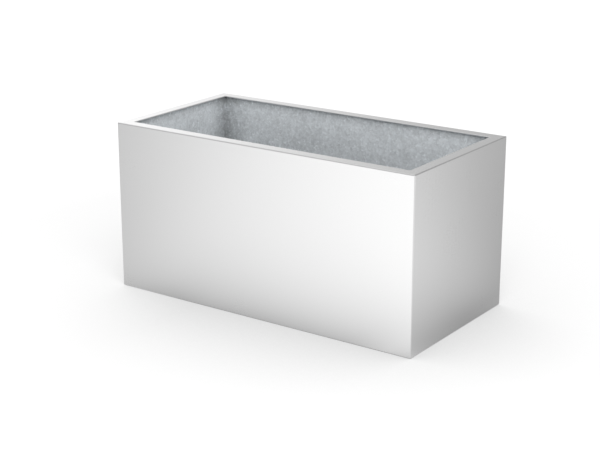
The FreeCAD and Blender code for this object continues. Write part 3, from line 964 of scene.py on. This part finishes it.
# The camera sees a floor that glows, less where the planter covers it, and that keeps lamp shadows
FLOOR_PLAIN = grey(0.8)
FLOOR_SEEN = grey(0.39)
FLOOR_GLOW = 0.70
SHADOW_REACH = 1.0
SHADOW_DEPTH = 0.74
FAR_FLOOR = (1.2, 5.0)
FAR_GLOW = 0.4

# The shadow is weaker to the left: from and to where along X, and its share at the left
LEFT_FROM, LEFT_TO = -0.72, -0.22
LEFT_SHARE = 0.35


def open_glow(finish, spot):
    """Glow of the floor under the open sky, and less of it near the planter."""
    sky = finish.node("ShaderNodeAmbientOcclusion", {"Distance": SHADOW_REACH}, samples=8)
    weight = finish.spread(spot[0], LEFT_FROM, LEFT_TO, LEFT_SHARE, 1.0)
    hidden = finish.sum_up("SUBTRACT", sky.outputs["AO"], 1.0)
    cover = finish.sum_up("MULTIPLY_ADD", hidden, weight, 1.0)
    glow = finish.sum_up("MULTIPLY_ADD", cover, SHADOW_DEPTH, 1.0 - SHADOW_DEPTH)
    glow = finish.sum_up("MULTIPLY", glow, FLOOR_GLOW)
    reach = finish.length(finish.place())
    return finish.add(glow, finish.spread(reach, *FAR_FLOOR, 0.0, FAR_GLOW))


# Metal mirrors the floor as a pool of light. Each slope is its rise along X, its rise along Y, and
# its level at the middle. One lies before the planter's front and one beside its right end.
FRONT_SLOPE = (0.26, -0.31, 0.748)
FRONT_RISE, FRONT_GAIN = 0.14, 1.15
FRONT_LEAST = 0.52
END_SLOPE = (1.08, -0.7, 0.14)
END_LEAST, END_MOST = 0.42, 0.88

# These give two places and the values at the first and at the last of them. Swells and dip are
# measured across the view, gleam and the most along X, and the reach of each change along Y.
ACROSS_VIEW = (1.0, -0.777)
LEFT_SWELL = (-0.4, 0.0, -0.03, 0.05)
RIGHT_SWELL = (0.2, 0.7, 0.0, -0.05)
SWELL_REACH = (-0.8, -0.45, 1.0, 0.0)
LEFT_DIP = (-0.4, -0.15, -0.08, 0.0)
DIP_REACH = (-1.4, -0.8, 0.0, 1.0)
GLEAM = (0.3, 0.5, 0.0, 0.12)
GLEAM_REACH = (-0.45, -0.3, 0.0, 1.0)
FRONT_MOST = (0.35, 1.3, 1.24, 0.8)

# Where the pool beside the end takes over: past a slanting line, and past a line along Y
END_PAST_SLANT = (0.15, 0.35, 0.0, 1.0)
END_PAST_LINE = (0.3, 0.55, 0.0, 1.0)

# How the planter darkens the pool: fastest and least to the back left, slower to the front right
DECAY = (-0.2, 0.75, -7.5, -4.2)
DEEPEST = (-0.1, 0.3, 0.42, 0.48)
END_DEEPER = 0.06
CORE_INSET = 0.2


def front_pool(finish, spot):
    """The pool before the front, with a slow swell across it and a gleam at its right end."""
    rise = finish.sum_up("MULTIPLY_ADD", spot[0], FRONT_RISE, FRONT_GAIN)
    pool = finish.sum_up("MULTIPLY", finish.slope(spot, *FRONT_SLOPE), rise)
    across = finish.slope(spot, *ACROSS_VIEW)
    swell = finish.add(finish.spread(across, *LEFT_SWELL), finish.spread(across, *RIGHT_SWELL))
    dip = finish.spread(across, *LEFT_DIP)
    gleam = finish.spread(spot[0], *GLEAM)
    for change, reach in ((swell, SWELL_REACH), (dip, DIP_REACH), (gleam, GLEAM_REACH)):
        share = finish.sum_up("MULTIPLY", change, finish.spread(spot[1], *reach))
        pool = finish.sum_up("MULTIPLY_ADD", pool, share, pool)
    pool = finish.sum_up("MAXIMUM", pool, FRONT_LEAST)
    return finish.sum_up("MINIMUM", pool, finish.spread(spot[0], *FRONT_MOST))


def beyond_planter(finish, spot):
    """Distance from the planter's outline, with wide round corners."""
    beside = []
    for axis in (0, 1):
        core = CAD_BOX[1][axis] - CORE_INSET
        past = finish.sum_up("SUBTRACT", finish.sum_up("ABSOLUTE", spot[axis]), core)
        beside.append(finish.sum_up("MAXIMUM", past))
    away = finish.node("ShaderNodeCombineXYZ", {0: beside[0], 1: beside[1]}).outputs[0]
    return finish.sum_up("MAXIMUM", finish.sum_up("SUBTRACT", finish.length(away), CORE_INSET))


def mirrored_pool(finish, spot):
    """Both pools joined, and darker close to the planter."""
    front = front_pool(finish, spot)
    end = finish.slope(spot, *END_SLOPE)
    end = finish.sum_up("MINIMUM", finish.sum_up("MAXIMUM", end, END_LEAST), END_MOST)
    side = finish.spread(finish.slope(spot, 1.0, 1.0), *END_PAST_SLANT)
    side = finish.sum_up("MINIMUM", side, finish.spread(spot[0], *END_PAST_LINE))
    pool = finish.node("ShaderNodeMix", {0: side, 2: front, 3: end}).outputs[0]
    apart = finish.slope(spot, 1.0, -1.0)
    away = beyond_planter(finish, spot)
    decay = finish.spread(apart, *DECAY)
    fade = finish.sum_up("EXPONENT", finish.sum_up("MULTIPLY", away, decay))
    deepest = finish.sum_up("MULTIPLY_ADD", side, END_DEEPER, finish.spread(apart, *DEEPEST))
    shade = finish.sum_up("MULTIPLY", fade, deepest)
    return finish.sum_up("MULTIPLY", pool, finish.sum_up("SUBTRACT", 1.0, shade))


def pale_floor():
    """White floor with a soft shadow where the planter covers it. A reflection sees a pool of light
    that is brightest to the front right. From below the floor is clear."""
    finish = Finish("pale_floor")
    spot = finish.axes(finish.place())

    def shader(kind, **inputs):
        return finish.node(kind, inputs).outputs[0]

    def either(share, first, second):
        return finish.node("ShaderNodeMixShader", {0: share, 1: first, 2: second}).outputs[0]

    plain = shader("ShaderNodeBsdfDiffuse", Color=FLOOR_PLAIN)
    glow = shader("ShaderNodeEmission", Color=WHITE, Strength=open_glow(finish, spot))
    lit = shader("ShaderNodeBsdfDiffuse", Color=FLOOR_SEEN)
    seen = finish.node("ShaderNodeAddShader", {0: lit, 1: glow}).outputs[0]
    mirrored = shader("ShaderNodeEmission", Color=WHITE, Strength=mirrored_pool(finish, spot))
    clear = shader("ShaderNodeBsdfTransparent", Color=WHITE)
    rays = finish.node("ShaderNodeLightPath").outputs
    below = finish.node("ShaderNodeNewGeometry").outputs["Backfacing"]
    final = either(rays["Is Camera Ray"], plain, seen)
    final = either(rays["Is Glossy Ray"], final, mirrored)
    return finish.close("ShaderNodeOutputMaterial", either(below, final, clear))


def lay_floor():
    reach = FLOOR_REACH
    mesh = bpy.data.meshes.new("floor")
    corners = [(-reach, -reach, 0), (reach, -reach, 0), (reach, reach, 0), (-reach, reach, 0)]
    mesh.from_pydata(corners, [], [(0, 1, 2, 3)])
    mesh.materials.append(pale_floor())
    floor = bpy.data.objects.new("floor", mesh)
    bpy.context.scene.collection.objects.link(floor)


# What each band of directions adds to the surround's level, behind the planter: from and to where
# along X, and how much. The first two lie to the left, the others to the right.
SURROUND_BANDS = (
    (-0.42, -0.76, 0.88),
    (-0.76, -0.92, -0.7),
    (-0.25, 0.15, -0.2),
    (0.35, 0.7, 0.25),
)
SURROUND_BACK = (-0.1, 0.5)
SURROUND_LEVEL = 0.5
SMOOTH = "SMOOTHSTEP"


def soft_surround():
    """Soft grey light from all round, brightest to the back left. The camera sees it white."""
    finish = Finish("surround", bpy.data.worlds)
    direction = finish.axes(finish.node("ShaderNodeTexCoord").outputs["Generated"])
    bands = []
    for start, end, gain in SURROUND_BANDS:
        bands.append(finish.spread(direction[0], start, end, 0.0, gain, SMOOTH))
    backward = finish.spread(direction[1], *SURROUND_BACK, 0.0, 1.0, SMOOTH)
    level = finish.sum_up("MULTIPLY_ADD", finish.add(*bands), backward, SURROUND_LEVEL)
    soft = finish.node("ShaderNodeBackground", {"Color": WHITE, "Strength": level}).outputs[0]
    white = finish.node("ShaderNodeBackground", {"Color": WHITE}).outputs[0]
    to_camera = finish.node("ShaderNodeLightPath").outputs["Is Camera Ray"]
    both = finish.node("ShaderNodeMixShader", {0: to_camera, 1: soft, 2: white}).outputs[0]
    bpy.context.scene.world = finish.close("ShaderNodeOutputWorld", both)


def softbox(name, place, aim, width, height, level, mirrored=True):
    """Rectangular lamp whose face is as bright as its level. Metal mirrors it or doesn't."""
    data = bpy.data.lights.new(name, "AREA")
    data.shape = "RECTANGLE"
    data.size = width
    data.size_y = height
    data.energy = level * math.pi * width * height
    lamp = bpy.data.objects.new(name, data)
    lamp.visible_glossy = mirrored
    bpy.context.scene.collection.objects.link(lamp)
    lamp.location = place
    turn_to(lamp, aim)


def light_studio():
    soft_surround()
    softbox(
        "key_softbox",
        place=(2.6, -2.8, 3.4),
        aim=(0.0, 0.0, 0.2),
        width=3.0,
        height=3.0,
        level=4.7,
        mirrored=False,
    )
    softbox(
        "overhead_softbox",
        place=(0.0, 0.8, 4.5),
        aim=(0.0, 0.0, 0.0),
        width=5.0,
        height=4.0,
        level=0.35,
    )


bpy.context.scene.view_settings.view_transform = "Standard"
set_camera()
dress_nodes()
make_pieces()
lay_floor()
light_studio()
